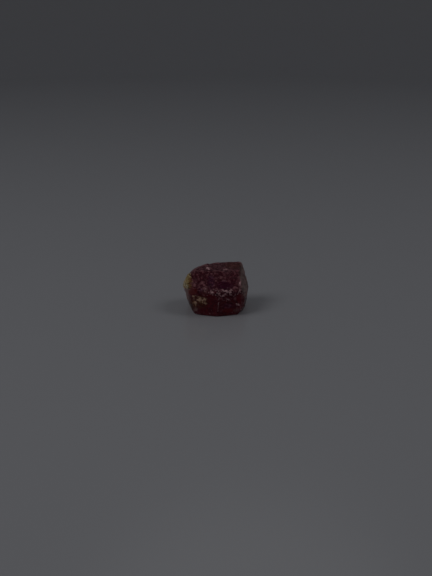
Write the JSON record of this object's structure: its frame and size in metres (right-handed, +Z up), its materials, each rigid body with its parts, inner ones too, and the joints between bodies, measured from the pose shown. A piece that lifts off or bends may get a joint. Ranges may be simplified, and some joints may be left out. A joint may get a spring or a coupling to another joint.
{
  "type": "raw ruby crystal",
  "caption": "Rough, stubby chunk of dark red corundum with a stepped front, a leaning roof face, broken edges and a tan weathering crust; rests on a flat foot.",
  "frame": {"origin": "middle of the outline seen from above, on the surface the crystal stands on", "axes": "+Z up, +X along the longest side, -Y towards the stepped front"},
  "size_m": [0.0208, 0.0164, 0.0129],
  "materials": {
    "ruby": "dark red translucent corundum with satin and glassy faces, violet zones and a tan weathering crust"
  },
  "bodies": {
    "root": {"ruby_crystal": "ruby"}
  },
  "joints": []
}
